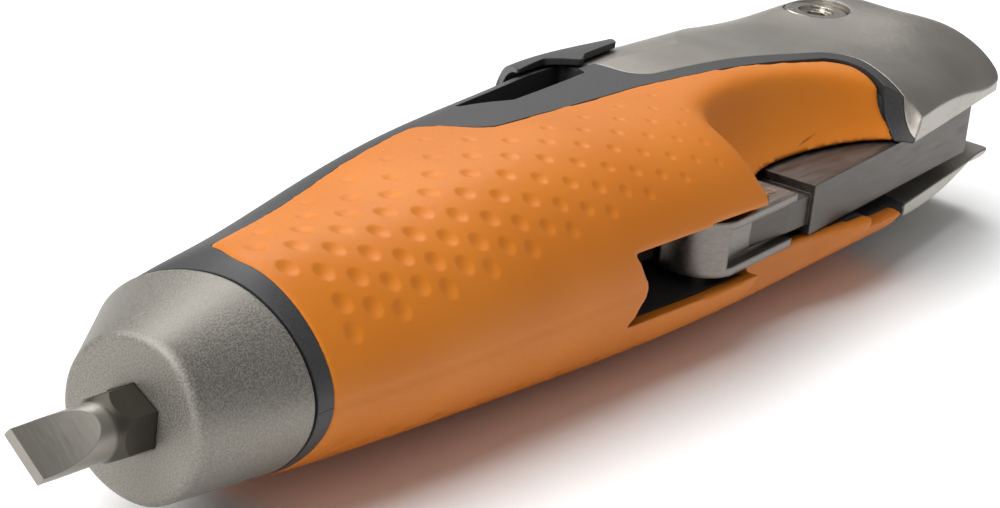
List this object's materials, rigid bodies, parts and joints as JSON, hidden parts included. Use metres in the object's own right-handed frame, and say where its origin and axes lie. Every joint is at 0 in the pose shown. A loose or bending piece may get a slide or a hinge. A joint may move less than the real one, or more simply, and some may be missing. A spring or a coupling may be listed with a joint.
{
  "type": "utility knife",
  "caption": "Retractable utility knife with rubber grips, a die-cast nose, a folding opener in the belly and a hex bit driver in the tail.",
  "frame": {"origin": "centre of the hex socket's mouth on the rear cap's end face", "axes": "+X forward to the nose, +Y towards the spine, +Z towards the knife's right side"},
  "size_m": [0.1858, 0.0437, 0.0264],
  "materials": {
    "frame_plastic": "fine moulded texture",
    "grip_rubber": "soft matte with dimples",
    "nose_metal": "satin die-cast",
    "cap_metal": "bead-blasted die-cast",
    "bit_steel": "satin tool steel",
    "bright_steel": "plated",
    "dark_steel": "black oxide",
    "blade_steel": "ground",
    "opener_bright": "brushed",
    "opener_dark": "dark satin"
  },
  "bodies": {
    "frame": {"right_shell": "frame_plastic", "left_shell": "frame_plastic", "right_grip": "grip_rubber", "left_grip": "grip_rubber", "right_bolster": "nose_metal", "left_bolster": "nose_metal", "bolster_screw": "bright_steel", "barrel_nut": "bright_steel", "shell_screws": "dark_steel", "rear_cap": "cap_metal", "bit_magnet": "bright_steel", "opener_pin": "bright_steel", "opener_spring": "bright_steel"},
    "carriage": {"blade_carriage": "frame_plastic", "thumb_slider": "frame_plastic", "blade": "blade_steel", "blade_clip": "bright_steel", "carriage_spring": "bright_steel"},
    "opener": {"opener_knuckle": "opener_bright", "opener_arm": "opener_dark", "opener_rivets": "bright_steel"},
    "bit": {"screwdriver_bit": "bit_steel"}
  },
  "joints": [
    {"name": "blade_slide", "type": "slide", "parent": "frame", "child": "carriage", "axis": [1, 0, 0], "range_m": [-0.012, 0.03]},
    {"name": "opener_swing", "type": "hinge", "parent": "frame", "child": "opener", "pos_m": [0.093, -0.0034, 0], "axis": [0, 0, -1], "range_deg": [0, 130]},
    {"name": "bit_pull", "type": "slide", "parent": "frame", "child": "bit", "axis": [-1, 0, 0], "range_m": [0, 0.05]}
  ]
}
